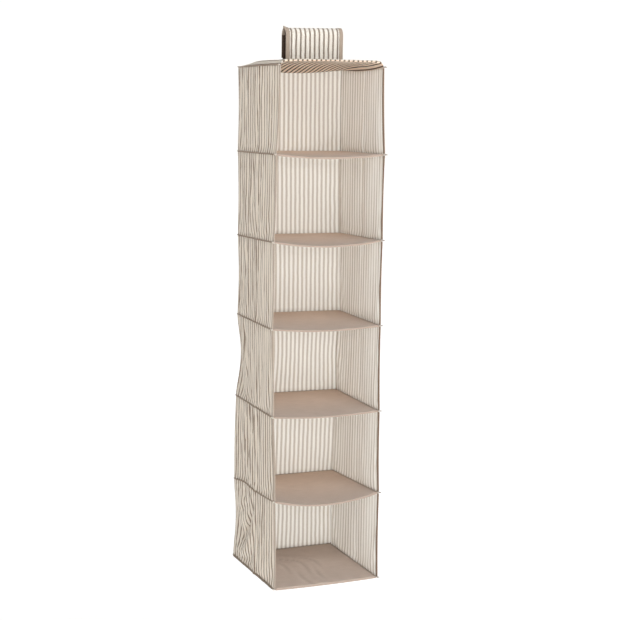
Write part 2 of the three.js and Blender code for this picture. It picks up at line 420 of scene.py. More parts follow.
def edge_tape(name, surface, along, width, side_gap, material, at_end=False):
    """Tape folded round the s = 0 edge (or s = 1) of a surface. width is in shares of s."""
    leg = np.linspace(1, 0, 5)
    half = side_gap + TAPE / 2
    fold = np.linspace(0, math.pi, 7)[1:-1]
    inwards = np.concatenate([leg * width, np.zeros(len(fold)), leg[::-1] * width])
    beyond = np.concatenate([leg * 0, np.sin(fold), leg * 0])
    sideways = np.concatenate([leg * 0 + 1, np.cos(fold), leg * 0 - 1])
    s, t = np.meshgrid(1 - inwards if at_end else inwards, along)
    points = surface(s, t)
    step = 1e-3
    ds = surface(np.clip(s + step, 0, 1), t) - surface(np.clip(s - step, 0, 1), t)
    dt = surface(s, np.clip(t + step, 0, 1)) - surface(s, np.clip(t - step, 0, 1))
    outwards = unit(ds) * (1 if at_end else -1)
    points = points + unit(np.cross(ds, dt)) * (sideways * half)[None, :, None]
    points = points + outwards * (beyond * half)[None, :, None]
    across, down = run_length(points[0]), run_length(points[:, 0])
    uvs = np.stack(np.meshgrid(across, down), axis=-1)
    if at_end:
        points, uvs = points[:, ::-1], uvs[:, ::-1]
    return cloth(name, points, uvs, TAPE, material), float(across[-1]), float(down[-1])


TUBE_SIDES = 8
TUBE_GIRTH = 8 * MM  # cloth that goes once round a tube


def tube(name, path, radii, material):
    """A tube along a path of points, with a (sideways, upward) pair of radii at each."""
    up = np.array([0, 0, 1.0])
    out = unit(np.cross(unit(np.gradient(path, axis=0)), up))
    sides = TUBE_SIDES
    angle = np.linspace(0, 2 * math.pi, sides, endpoint=False)
    ring = out[:, None] * (np.cos(angle) * radii[:, :1])[..., None]
    ring = ring + up * (np.sin(angle) * radii[:, 1:])[..., None]
    vertices = (path[:, None] + ring).reshape(-1, 3)
    count = len(path)
    faces = []
    for i in range(count - 1):
        for j in range(sides):
            k = (j + 1) % sides
            faces.append((i * sides + j, (i + 1) * sides + j, (i + 1) * sides + k, i * sides + k))
    faces.append(tuple(range(sides)))
    faces.append(tuple(range((count - 1) * sides, count * sides))[::-1])
    around = angle / (2 * math.pi) * TUBE_GIRTH
    uvs = np.stack(np.meshgrid(around, run_length(path)), axis=-1)
    return new_piece(name, vertices, faces, uvs.reshape(-1, 2), material)


STITCH_STEP = 4.2 * MM
STITCH_SHARE = 0.68  # of a step, the rest is the gap to the next stitch
STITCH_RADIUS = 0.3 * MM
STITCH_SIDES = 5
STITCH_INSET = 1.6 * MM  # from the tape's edge


def stitches(name, lines, material, step=STITCH_STEP, thick=STITCH_RADIUS):
    """Running stitches. Each line is a pair: points on the seam, and the cloth's normals there."""
    vertices, faces = [], []
    stitch = STITCH_SHARE * step
    angle = np.linspace(0, 2 * math.pi, STITCH_SIDES, endpoint=False)
    reach = np.array([-0.5, -0.3, 0.3, 0.5]) * stitch
    radius = np.array([0.35, 1, 1, 0.35]) * thick
    for points, normals in lines:
        length = run_length(points)
        places = np.arange(step / 2, length[-1], step)
        centres = read_along(places, length, points)
        up = unit(read_along(places, length, normals))
        behind = read_along(places - stitch / 4, length, points)
        ahead = unit(read_along(places + stitch / 4, length, points) - behind)
        beside = np.cross(ahead, up)
        for c, d, n, b in zip(centres, ahead, up, beside):
            start = len(vertices)
            for a, r in zip(reach, radius):
                lift = r - 0.45 * thick
                for phi in angle:
                    off = n * (lift + r * math.cos(phi)) + b * r * math.sin(phi)
                    vertices.append(c + d * a + off)
            for low in range(start, len(vertices) - STITCH_SIDES, STITCH_SIDES):
                for j in range(STITCH_SIDES):
                    k = (j + 1) % STITCH_SIDES
                    high = low + STITCH_SIDES
                    faces.append((low + j, low + k, high + k, high + j))
            faces.append(tuple(range(start, start + STITCH_SIDES))[::-1])
            faces.append(tuple(range(len(vertices) - STITCH_SIDES, len(vertices))))
    return new_piece(name, vertices, faces, None, material)


def on_both_faces(surface, s, t, proud):
    """A line on a surface as two for stitches(), each standing proud of one face."""
    points = surface(s, t)
    step = 1e-3
    normal = unit(np.cross(surface(s + step, t) - points, surface(s, t + step) - points))
    return [(points + face * normal * proud, face * normal) for face in (-1, 1)]


# ---- materials


class Nodes:
    """A short way to write a node graph. Numbers and sockets are both fine as inputs."""

    def __init__(self, tree):
        self.tree = tree

    def feed(self, socket, value):
        if isinstance(value, bpy.types.NodeSocket):
            self.tree.links.new(value, socket)
        elif isinstance(value, tuple) and len(value) == 3 and socket.type == "RGBA":
            socket.default_value = (*value, 1)
        else:
            socket.default_value = value

    def add(self, kind, inputs=(), output=0, **settings):
        node = self.tree.nodes.new(kind)
        for key, value in settings.items():
            setattr(node, key, value)
        for key, value in dict(inputs).items():
            self.feed(node.inputs[key], value)
        return node.outputs[output]

    def math(self, operation, a, b=0.0, c=0.0, clamp=False):
        return self.add("ShaderNodeMath", {0: a, 1: b, 2: c}, operation=operation, use_clamp=clamp)

    def times(self, a, b):
        return self.math("MULTIPLY", a, b)

    def plus(self, a, b):
        return self.math("ADD", a, b)

    def minus(self, a, b):
        return self.math("SUBTRACT", a, b)

    def scaled(self, a, scale, start):
        return self.math("MULTIPLY_ADD", a, scale, start)

    def cloth_coordinates(self):
        uv = self.add("ShaderNodeUVMap", uv_map="Cloth")
        split = self.tree.nodes.new("ShaderNodeSeparateXYZ")
        self.feed(split.inputs[0], uv)
        return split.outputs[0], split.outputs[1]

    def share(self, attribute):
        return self.add("ShaderNodeAttribute", attribute_name=attribute, output=2)

    def vector(self, x, y):
        return self.add("ShaderNodeCombineXYZ", {0: x, 1: y})

    def noise(self, vector, scale, detail, roughness=0.5):
        inputs = {"Vector": vector, "Scale": scale, "Detail": detail, "Roughness": roughness}
        return self.add("ShaderNodeTexNoise", inputs)

    def ramp(self, value, low, high):
        """0 below low, 1 above high, smooth between."""
        inputs = {"Value": value, "From Min": low, "From Max": high}
        return self.add("ShaderNodeMapRange", inputs, interpolation_type="SMOOTHSTEP")

    def mix(self, factor, a, b):
        node = self.tree.nodes.new("ShaderNodeMix")
        node.data_type = "RGBA"
        self.feed(node.inputs["Factor"], factor)
        self.feed(node.inputs["A"], a)
        self.feed(node.inputs["B"], b)
        return node.outputs["Result"]


class Surface(Nodes):
    """A material's node graph, round its one shader."""

    def __init__(self, name, roughness, sheen=0.0, specular=0.25, light_through=0.0):
        self.material = bpy.data.materials.new(name)
        self.material.use_nodes = True
        super().__init__(self.material.node_tree)
        self.shader = self.tree.nodes["Principled BSDF"]
        self.shader.inputs["Roughness"].default_value = roughness
        self.shader.inputs["Specular IOR Level"].default_value = specular
        self.shader.inputs["Sheen Weight"].default_value = sheen
        self.shader.inputs["Sheen Roughness"].default_value = 0.5
        self.shader.inputs["Subsurface Weight"].default_value = light_through
        self.shader.inputs["Subsurface Radius"].default_value = (1, 1, 1)
        self.shader.inputs["Subsurface Scale"].default_value = 3 * CLOTH

    def finish(self, color, height, distance, strength):
        """The material, with a base colour and a bump."""
        self.feed(self.shader.inputs["Base Color"], color)
        inputs = {"Height": height, "Distance": distance, "Strength": strength}
        self.feed(self.shader.inputs["Normal"], self.add("ShaderNodeBump", inputs))
        return self.material


def srgb(r, g, b):
    """Linear colour from sRGB values out of 255."""
    def linear(c):
        c /= 255
        return c / 12.92 if c <= 0.04045 else ((c + 0.055) / 1.055) ** 2.4
    return (linear(r), linear(g), linear(b))


THREAD_SPACING = 0.75 * MM
RIB_SPACING = 1.1 * MM  # of the tapes
WANDER = 3 * MM  # how far the stripes of the left walls stray to either side
STEADY = 0.4  # the share of that on all other cloth


def woven(n, u, v):
    """Height of a plain weave: rounded threads passing over and under each other."""
    turn = 2 * math.pi / THREAD_SPACING
    return n.times(n.math("SINE", n.times(u, turn)), n.math("SINE", n.times(v, turn)))


def worn_and_shaded(n, color, amount):
    """Slightly darker cloth where the seam share is high: dirt along the seams, and painted shade
    where parts meet, in creases and over the top compartment's rear wall.
    """
    return n.mix(n.times(n.share("Seam"), amount), color, srgb(120, 100, 84))


def stripes(n, u, v, grain):
    """1 on a stripe and 0 between, with ragged edges and short pale breaks along it."""
    drift = n.scaled(n.noise(n.vector(u, v), 24, 3), 2 * WANDER, -WANDER)
    drift = n.times(drift, n.scaled(n.share("Wavy"), 1 - STEADY, STEADY))
    phase = n.math("FRACT", n.math("DIVIDE", n.plus(u, drift), STRIPE_PITCH))
    away = n.math("ABSOLUTE", n.minus(phase, 0.5))
    ragged = n.plus(away, n.scaled(grain, 0.10, -0.05))
    wider = n.times(n.share("Inside"), n.scaled(n.share("Faint"), 0.03, 0.045))
    stripe = n.minus(1.0, n.ramp(n.minus(ragged, wider), 0.135, 0.235))
    dashes = n.ramp(n.noise(n.vector(u, n.times(v, 1.6)), 520, 1), 0.3, 0.7)
    stripe = n.times(stripe, n.scaled(dashes, 0.22, 0.78))
    patches = n.ramp(n.noise(n.vector(u, n.times(v, 0.12)), 30, 2), 0.36, 0.62)
    faint = n.times(n.share("Faint"), n.scaled(patches, -0.7, 0.7))
    return n.times(stripe, n.minus(1.0, faint))


def striped_cloth(name, pale, dark):
    """Cloth printed in two colours, each the ends of a range, with a paler reverse side."""
    n = Surface(name, roughness=0.88, sheen=0.05, light_through=1.0)
    u, v = n.cloth_coordinates()
    grain = n.noise(n.vector(u, n.times(v, 0.55)), 900, 2)
    slub = n.noise(n.vector(n.times(u, 7.0), v), 110, 3)
    stripe = stripes(n, u, v, grain)
    printed = n.mix(stripe, n.mix(slub, *pale), n.mix(slub, *dark))
    pale_cream = n.mix(slub, srgb(231, 227, 219), srgb(241, 238, 232))
    pale_taupe = n.mix(slub, srgb(182, 172, 161), srgb(199, 190, 180))
    color = n.mix(n.share("Inside"), printed, n.mix(stripe, pale_cream, pale_taupe))
    # Painted shade on the top panel's underside: broader dark stripes, with darker and warmer
    # colours.
    broader = n.math("MULTIPLY", stripe, 1.5, clamp=True)
    shaded_ceiling = n.mix(broader, srgb(238, 203, 176), srgb(58, 34, 21))
    color = worn_and_shaded(n, n.mix(n.times(n.share("UnderShade"), 0.85), color, shaded_ceiling), 0.12)
    # The strap's dark-brown inner lining, partly painted shade.
    color = n.mix(n.share("LiningAndShade"), color, n.mix(slub, *LINING_AND_SHADE_BROWNS))
    relief = n.plus(n.times(woven(n, u, v), 0.35), n.times(grain, 0.9))
    return n.finish(color, n.plus(relief, n.times(stripe, 0.25)), 0.25 * MM, 0.6)


def shelf_cloth():
    n = Surface("shelf_cloth", roughness=0.9, sheen=0.15)
    u, v = n.cloth_coordinates()
    place = n.vector(u, v)
    mottle = n.noise(place, 30, 3, 0.6)
    grain = n.noise(place, 1100, 2)
    streak = n.noise(n.vector(n.times(u, 0.35), v), 60, 3, 0.6)
    front = n.mix(mottle, srgb(192, 175, 163), srgb(208, 192, 180))
    rear = n.mix(mottle, srgb(223, 194, 170), srgb(239, 210, 187))
    # Painted bounce light: the back of each shelf is warmer, as the light from the cream walls
    # makes it.
    color = n.mix(n.share("RearBounceLight"), front, rear)
    # Painted highlight beside the bottom panel's creases.
    color = n.mix(n.times(n.share("RidgeHighlight"), 0.5), color, srgb(222, 208, 197))
    color = n.mix(n.times(streak, 0.4), color, srgb(172, 150, 134))
    color = n.mix(n.times(grain, 0.25), color, srgb(150, 128, 112))
    relief = n.plus(n.times(woven(n, u, v), 0.5), grain)
    return n.finish(worn_and_shaded(n, color, 0.5), relief, 0.25 * MM, 0.6)


def tape_cloth(name, low, high):
    n = Surface(name, roughness=0.85, sheen=0.15)
    u, v = n.cloth_coordinates()
    place = n.vector(u, v)
    slant = n.plus(v, n.times(u, 0.6))
    rib = n.math("SINE", n.times(slant, 2 * math.pi / RIB_SPACING))
    grain = n.noise(place, 700, 2)
    color = n.mix(n.noise(place, 60, 2), low, high)
    color = n.mix(n.times(grain, 0.3), color, low)
    return n.finish(color, n.plus(n.times(rib, 0.5), grain), 0.22 * MM, 0.7)


def thread_cloth(name, low, high):
    n = Surface(name, roughness=0.7, sheen=0.1)
    place = n.add("ShaderNodeTexCoord", output="Object")
    twist = n.noise(place, 2500, 1)
    return n.finish(n.mix(twist, low, high), twist, 0.1 * MM, 0.5)


def cardboard():
    n = Surface("stiffener_board", roughness=0.8)
    place = n.add("ShaderNodeTexCoord", output="Object")
    fibre = n.noise(place, 500, 3)
    color = n.mix(fibre, srgb(166, 140, 103), srgb(196, 171, 133))
    return n.finish(color, fibre, 0.2 * MM, 0.4)


def hook_and_loop():
    n = Surface("hook_and_loop", roughness=0.95, sheen=0.3)
    place = n.add("ShaderNodeTexCoord", output="Object")
    cells = n.add("ShaderNodeTexVoronoi", {"Vector": place, "Scale": 900})
    color = n.mix(cells, srgb(150, 136, 121), srgb(112, 98, 86))
    return n.finish(color, cells, 0.6 * MM, 0.9)


# The dark brown of the strap's lining and of the tab behind it: partly their own colour, partly
# painted shade inside the loop.
LINING_AND_SHADE_BROWNS = (srgb(70, 54, 44), srgb(92, 74, 62))
STRIPED = striped_cloth(
    "striped_cloth",
    pale=(srgb(202, 191, 177), srgb(218, 208, 195)),
    dark=(srgb(98, 79, 63), srgb(124, 105, 88)),
)
# The strap is the same striped cloth as the walls, in a paler, greyer copy: painted light.
LIT_STRAP_CLOTH = striped_cloth(
    "lit_strap_cloth",
    pale=(srgb(208, 201, 192), srgb(224, 218, 210)),
    dark=(srgb(108, 94, 82), srgb(134, 120, 107)),
)
SHELF = shelf_cloth()
LINING_AND_SHADE = tape_cloth("strap_lining_and_shade", *LINING_AND_SHADE_BROWNS)
BINDING = tape_cloth("binding_tape", srgb(158, 143, 129), srgb(186, 172, 158))
# A darker copy of the binding tape for the right walls: painted shade on their front edges.
SHADED_BINDING = tape_cloth("shaded_binding_tape", srgb(118, 95, 78), srgb(144, 120, 102))
STRAP_BINDING_CLOTH = tape_cloth("strap_binding_tape", srgb(146, 130, 116), srgb(174, 159, 145))
PIPING = tape_cloth("seam_piping", srgb(150, 130, 112), srgb(182, 163, 145))
DARK_PIPING = tape_cloth("dark_seam_piping", srgb(104, 88, 70), srgb(136, 119, 100))
KNOT = tape_cloth("corner_knot", srgb(222, 212, 200), srgb(240, 232, 222))
EAR = tape_cloth("tape_end", srgb(104, 88, 75), srgb(132, 115, 100))
THREAD = thread_cloth("thread", srgb(150, 132, 117), srgb(190, 174, 158))
DARK_THREAD = thread_cloth("dark_thread", srgb(88, 70, 57), srgb(116, 96, 81))
CARD = cardboard()
HOOKS = hook_and_loop()


def mark(piece, what, share):
    """Stores a share from 0 to 1 with each vertex, which the materials read by its name.

    A share that is given for one face of a cloth only goes for its other face too.
    Seam: near a sewn edge, darker with dirt and with painted shade where parts meet and in creases.
    Inside: the cloth's reverse side. Faint: stripes that fade in patches. Wavy: stripes that
    wander.
    Under: the top panel's underside, in painted shade. Lining: the strap's dark-brown lining,
    partly painted shade.
    Rear: towards the back of a shelf, in painted bounce light. Ridge: beside a crease, a painted
    highlight.
    """
    attribute = piece.data.attributes.new(what, "FLOAT", "POINT")
    share = np.asarray(share, np.float32)
    attribute.data.foreach_set("value", np.resize(share, len(piece.data.vertices)))


# ---- walls

STRIPE_SHIFT = 0.37  # from one compartment's panels to the next, in stripes
FADING = (1, 1, 1.3, 1.3, 0.4, 0.5)  # how far the left walls' stripes have faded, by compartment
TOP_REAR_SHADE = 0.8  # painted shade darkens the top compartment's rear wall all over, nearly as much as the cloth at the seams


def fold_with(piece, compartment):
    """The piece hangs from the level above, with a mesh of its own."""
    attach(piece, level_body(compartment - 1))
    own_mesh(piece)


def wall_panel(compartment, where, surface, width):
    s, t = np.meshgrid(np.linspace(0, 1, WALL_COLUMNS), np.linspace(0, 1, WALL_ROWS))
    shift = STRIPE_SHIFT * compartment * STRIPE_PITCH
    spread = 1 if where == "rear" else SIDE_STRIPES
    uvs = np.stack([s * width / spread + shift, t * PITCH], axis=-1)
    piece = cloth(f"{where}_cloth_{compartment}", surface(s, t), uvs, CLOTH, STRIPED)
    # Darker towards the edges: seam dirt, and painted shade where the wall meets the shelves and
    # the other walls.
    near = np.maximum(1 - np.minimum(t, 1 - t) / 0.06, 1 - np.minimum(s, 1 - s) / 0.045)
    # Painted shade over the whole rear wall of the top compartment.
    if where == "rear" and compartment == 1:
        near = np.maximum(near, TOP_REAR_SHADE)
    mark(piece, "Seam", np.clip(near, 0, 1))
    mark(piece, "Inside", np.repeat([where != "right", where == "right"], near.size))
    mark(piece, "Wavy", where == "left")
    if where != "rear":
        faded = FADING[compartment - 1] if where == "left" else 1
        mark(piece, "Faint", (0.4 + 0.5 * smooth(1 - s / 0.4)) * faded)
    fold_with(piece, compartment)
    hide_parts(f"{where}_wall_{compartment}")


def front_binding(compartment, where, surface):
    along = np.linspace(0.012, 0.988, 40)
    name = f"{where}_tape_{compartment}"
    # the right walls take the darker copy, painted shade
    material = BINDING if where == "left" else SHADED_BINDING
    piece, across, down = edge_tape(name, surface, along, TAPE_WIDTH / DEPTH, CLOTH / 2, material)
    fold_with(piece, compartment)
    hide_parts(f"{where}_binding_{compartment}")
    at = np.full(60, (TAPE_WIDTH - STITCH_INSET) / DEPTH)
    lines = on_both_faces(surface, at, np.linspace(0.015, 0.985, 60), CLOTH / 2 + TAPE)
    sewn = stitches(f"{where}_tape_stitches_{compartment}", lines, THREAD)
    fold_with(sewn, compartment)


def walls(compartment):
    for where, side in (("left", -1), ("right", 1)):
        surface = hung(side_wall(compartment, side), compartment, DEPTH)
        wall_panel(compartment, where, surface, DEPTH)
        front_binding(compartment, where, surface)
    surface = hung(rear_wall(compartment), compartment, 2 * RIGHT)
    wall_panel(compartment, "rear", surface, 2 * RIGHT)


# ---- shelves and top panel


def backwards(y):
    """How far back on a shelf y lies, from 0 to 1."""
    return (y - FRONT) / (INSIDE_REAR - FRONT)


def droop(sag):
    def height(x, y):
        across = 1 - (x / INSIDE_X) ** 2
        forward = np.clip((INSIDE_REAR - y) / (INSIDE_REAR - FRONT), 0, 1)
        return -sag * across * np.sin(forward * math.pi / 2)

    return height


def crown(x, y):
    """The top panel, drawn up by the strap almost to its sides, and drooping at its rear edge."""
    top_low, top_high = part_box("top_cover")
    rise = top_high.z - SEAM_Z[0] - SLEEVE / 2
    dip = SEAM_Z[0] - SLEEVE / 2 - top_low.z
    across = (1 - np.abs(x / INSIDE_X) ** 30) * (1 - 0.22 * np.clip(-x / INSIDE_X, 0, 1))
    behind = np.clip(y / INSIDE_REAR, 0, 1)
    droops = dip * (1 - (x / INSIDE_X) ** 2) * behind**1.5
    return rise * across * np.cos(behind * math.pi / 2) - droops


BOTTOM_REAR_BOUNCE_LIGHT = 0.25  # how much of the shelves' warmer rear colour, painted bounce light, the bottom panel shows


def sleeve(name, level, height, wrinkle, material):
    """One length of cloth over a board, folded round its front edge and back underneath."""
    half = SLEEVE / 2 - CLOTH / 2
    columns = INSIDE_X * np.sin(np.linspace(1, -1, 71) * math.pi / 2)
    flat = np.linspace(INSIDE_REAR, FRONT + SLEEVE / 2, 34)
    turn = np.linspace(0, math.pi, 9)[1:-1]
    y = np.concatenate([flat, FRONT + SLEEVE / 2 - half * np.sin(turn), flat[::-1]])
    face = np.concatenate([flat * 0 + 1, np.cos(turn), flat * 0 - 1])
    x, y = np.meshgrid(columns, y)
    face = np.broadcast_to(face[:, None], x.shape)
    inset = np.minimum(INSIDE_X - np.abs(x), INSIDE_REAR - y)
    pillow = 0.35 + 0.65 * smooth(inset / (4 * MM))
    proud = half * pillow + wrinkle(x, y, face) * smooth(inset / (15 * MM))
    points = hang(level, x, y, SEAM_Z[level] + height(x, y) + face * proud)
    middle = len(columns) // 2
    run = run_length(points[:, middle])
    reach = run_length(points[len(flat) * 3 // 4])
    uvs = np.stack(np.meshgrid(reach[middle] - reach, run), axis=-1)
    piece = cloth(name, points, uvs, CLOTH, material)
    # Darker near the walls and round the front fold: seam dirt, and painted shade where the shelf
    # meets the walls.
    near = np.clip(1 - inset / (9 * MM), 0, 1)
    near = np.maximum(near, np.clip(1.6 * (1 - np.abs(face)), 0, 1))
    if level == COMPARTMENTS:
        # Painted shade in the bottom panel's creases.
        near = np.maximum(near, 0.45 * creased(x, y) * (face > 0))
        # Painted highlight along the sides of each crease.
        beside = creased(x + 11 * MM, y) + 0.6 * creased(x - 10 * MM, y)
        mark(piece, "RidgeHighlight", np.clip(beside, 0, 1) * (face > 0))
    mark(piece, "Seam", near)
    # painted bounce light towards the back of the shelf
    mark(piece, "RearBounceLight", smooth(backwards(y)) * (BOTTOM_REAR_BOUNCE_LIGHT if level == COMPARTMENTS else 1))
    mark(piece, "UnderShade", face < 0)
    return piece, float(run[-1])


TOP_BOARD_WIDTH = 0.93  # as a share of the other boards'
BOARD_THINNED = 0.9  # as a share of the design's thickness


def stiffener(name, level, height):
    edge = TOP_BOARD_WIDTH * BOARD_X if level == 0 else BOARD_X
    depth = np.linspace(BOARD_FRONT, INSIDE_REAR - 2 * MM, 31)
    x, y = np.meshgrid(np.linspace(-edge, edge, 41), depth)
    points = hang(level, x, y, SEAM_Z[level] + height(x, y))
    uvs = np.stack([x, y], axis=-1)
    return cloth(name, points, uvs, BOARD * BOARD_THINNED, CARD)


def soft_bulge(seed, size):
    """Cloth that stands a little off its board, differently above and below."""
    def wrinkle(x, y, face):
        above = noise(x / (60 * MM) + 7, y / (45 * MM) + 9, seed)
        below = noise(x / (50 * MM) + 3, y / (60 * MM) + 4, seed + 1)
        return size * np.clip(np.where(face > 0, above, below) + 0.3, 0, None)

    return wrinkle


# Creases in the bottom panel, as shares: place across it, start and end from front to rear.
BOTTOM_CREASES = (
    (0.485, 0.15, 0.95),
    (0.62, 0.3, 0.8),
    (0.38, -0.1, 0.45),
    (0.555, 0, 0.5),
    (0.3, 0.25, 0.75),
)


def bent_left(y):
    """How far the bottom panel's creases have bent to the left, as a share of its width."""
    return 6 * np.clip(backwards(y) - 0.55, 0, 0.25) ** 2


def creased(x, y):
    """How deep in a crease of the bottom panel a point lies, from 0 to 1."""
    across, back = x / INSIDE_X / 2 + 0.5, backwards(y)
    place = across + bent_left(y) + 0.02 * np.sin(9 * back)
    depth = 0
    for where, start, end in BOTTOM_CREASES:
        along = smooth((back - start) / 0.25) * smooth((end - back) / 0.25)
        depth = np.maximum(depth, bump(place, where, 0.02) * along)
    return depth


def bottom_wrinkles(x, y, face):
    """Long soft creases in the bottom panel, from the front back and then bending to the left."""
    bend = bent_left(y) * 2 * INSIDE_X
    ridges = noise((x + bend) / (21 * MM) + 11, y / (110 * MM) + 5, 61)
    weight = smooth((0.12 - x) / 0.12)
    above = 3.2 * MM * (np.clip(ridges, 0, None) * weight + 0.5) * (1 - 0.6 * creased(x, y))
    return np.where(face > 0, above, 0.3 * MM)


BOTTOM_HEM_SAG = 2 * MM  # on top of the shelves' own


def covered_board(level, part, name, height, wrinkle, material):
    """A level's board in its sleeve. part begins the names of the nodes that they replace."""
    body = level_body(level)
    piece, length = sleeve(name, level, height, wrinkle, material)
    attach(piece, body)
    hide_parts(f"{part}_cover")
    card = stiffener(f"{part}_stiffener", level, height)
    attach(card, body)
    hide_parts(f"{part}_board")


def shelf(level):
    bottom = level == COMPARTMENTS
    height = droop(shelf_sag(level) + (BOTTOM_HEM_SAG if bottom else 0))
    wrinkle = bottom_wrinkles if bottom else soft_bulge(600 + level, 1.0 * MM)
    part = shelf_name(level)
    covered_board(level, part, f"{part}_cloth", height, wrinkle, SHELF)


def top_panel():
    bulge = soft_bulge(640, 1.2 * MM)
    covered_board(0, "top", "top_panel", crown, bulge, STRIPED)


# ---- raised seams and tape ends


SEAM_THICK = 0.9 * MM  # this and the next two are radii
SEAM_TALL_MM = 1.3
BOTTOM_SEAM_TALL_MM = 3.2
SEAM_POINTS = 70  # along each of the three walls


def seam_path(level):
    """The seam round the outside, along the left, the rear and the right wall."""
    compartment = max(level, 1)
    edge = 1.0 if level == 0 else 0.0
    off = WALL / 2 + SEAM_THICK
    side = np.linspace(0.004, 0.99, SEAM_POINTS)
    back = np.linspace(0.012, 0.988, SEAM_POINTS)
    height = np.full(SEAM_POINTS, edge)
    left = side_wall(compartment, -1)(side, height)
    rear = rear_wall(compartment)(back, height)
    right = side_wall(compartment, 1)(side[::-1], height)
    left[:, 0] -= off
    rear[:, 1] += off
    right[:, 0] += off
    return np.vstack([left, rear, right])


def raised_seam(level):
    path = seam_path(level)
    tall = (BOTTOM_SEAM_TALL_MM if level == COMPARTMENTS else SEAM_TALL_MM) * MM
    share = np.arange(len(path)) / len(path)
    lump = 1 + 0.18 * noise(share * 90, 0.5, 700 + level)
    radii = np.stack([SEAM_THICK * lump, tall * lump], axis=1)
    material = DARK_PIPING if level == COMPARTMENTS else PIPING
    piece = tube(f"seam_{level}", path, radii, material)
    body = level_body(level)
    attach(piece, body)
    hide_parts(f"seam_piping_{level}")
    ear(f"tape_end_right_front_{level}", path[-1], (1, -0.25, 0.1), 7 * MM, body)
    ear(f"tape_end_left_rear_{level}", path[SEAM_POINTS], (-1, 0.3, 0.15), 6 * MM, body)
    knot(f"corner_knot_{level}", path[0], body)
    inner = path[4:-4]
    ahead = np.gradient(inner, axis=0)
    out = unit(np.stack([-ahead[:, 1], ahead[:, 0], 0 * ahead[:, 0]], axis=1))
    below = inner + out * 0.5 * MM - np.array([0, 0, tall * 0.8])
    sewn = stitches(f"seam_stitches_{level}", [(below, out)], DARK_THREAD, 6.5 * MM, 0.55 * MM)
    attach(sewn, body)


def ear(name, corner, way, length, body):
    """A short end of seam tape that sticks out past a corner."""
    along = np.linspace(-0.3, 1, 7)
    path = corner + unit(np.array(way)) * (along * length)[:, None]
    path[:, 2] -= 0.8 * MM * np.clip(along, 0, 1) ** 2
    width = np.interp(along, [-0.3, 0, 0.6, 1], [1.0, 1.5, 1.1, 0.35])
    radii = np.stack([0.5 * MM * width, 1.1 * MM * width], axis=1)
    piece = tube(name, path, radii, EAR)
    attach(piece, body)


def knot(name, corner, body):
    """The cream end of the shelf's hem, tucked round the wall's front edge."""
    along = np.linspace(-1, 1, 9)
    middle = corner + np.array([-0.6, 3, 0]) * MM
    path = middle + np.outer(along, (0, 4.5 * MM, 0.8 * MM))
    girth = np.sqrt(np.clip(1.08 - along**2, 0.02, None))
    piece = tube(name, path, np.stack([1.3 * MM * girth, 2.0 * MM * girth], axis=1), KNOT)
    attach(piece, body)


# ---- strap

STRAP_LOW, STRAP_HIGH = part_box("hanging_strap")
FLAP_LOW, FLAP_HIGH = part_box("strap_flap")
STRAP = FLAP_HIGH.y - FLAP_LOW.y
STRAP_CORE = 0.7 * STRAP  # the strap's cloth between its tapes
STRAP_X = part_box("strap_binding_right")[1].x
STRAP_BINDING = STRAP_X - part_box("strap_binding_right")[0].x
LOOP_MIDDLE = -STRAP_LOW.y - STRAP / 2
BEND_Z = STRAP_HIGH.z + STRAP_LOW.y
BEND_LIFT = 2.2 * MM
BEND_TILT = 3.5 * MM  # how much higher the bend stands at its right end
STRAP_ASIDE = 3 * MM  # the strap sits a little to the right on the panel
STRAP_STITCH_INSET = 0.86  # as a share of the binding's width


def strap_front(s, t):
    """The strap from the top panel up in front of the rail and over it; s from left to right."""
    leg = BEND_Z - STRAP_LOW.z
    arc = math.pi * LOOP_MIDDLE
    run = t * (leg + arc)
    x = STRAP_ASIDE - STRAP_X + s * 2 * STRAP_X
    turn = np.clip((run - leg) / arc, 0, 1) * math.pi
    on_leg = np.clip(run / leg, 0, 1)
    wave = noise(x / (55 * MM) + 2, run / (70 * MM), 801)
    reach = LOOP_MIDDLE + 0.8 * MM * wave * np.sin(math.pi * on_leg)
    y = -reach * np.cos(turn)
    z = STRAP_LOW.z + on_leg * leg + (LOOP_MIDDLE + BEND_LIFT + BEND_TILT * s) * np.sin(turn)
    curl = np.clip(1 - s / 0.07, 0, 1) ** 2 * bump(turn, 1.2, 0.45)
    x = x - 4 * MM * curl
    z = z + 5 * MM * curl
    return np.stack([x, y, z], axis=-1)


def strap_rear(s, t):
    """The strap's rear leg, from the bend down to the flap's end."""
    x = STRAP_ASIDE - STRAP_X + s * 2 * STRAP_X
    z = BEND_Z + (FLAP_LOW.z - BEND_Z) * t
    wave = noise(x / (60 * MM) + 5, z / (50 * MM), 802)
    y = LOOP_MIDDLE + 0.5 * MM * wave * smooth(t / 0.3) * (1 - smooth((t - 0.6) / 0.3))
    return np.stack([x, np.broadcast_to(y, x.shape), z], axis=-1)


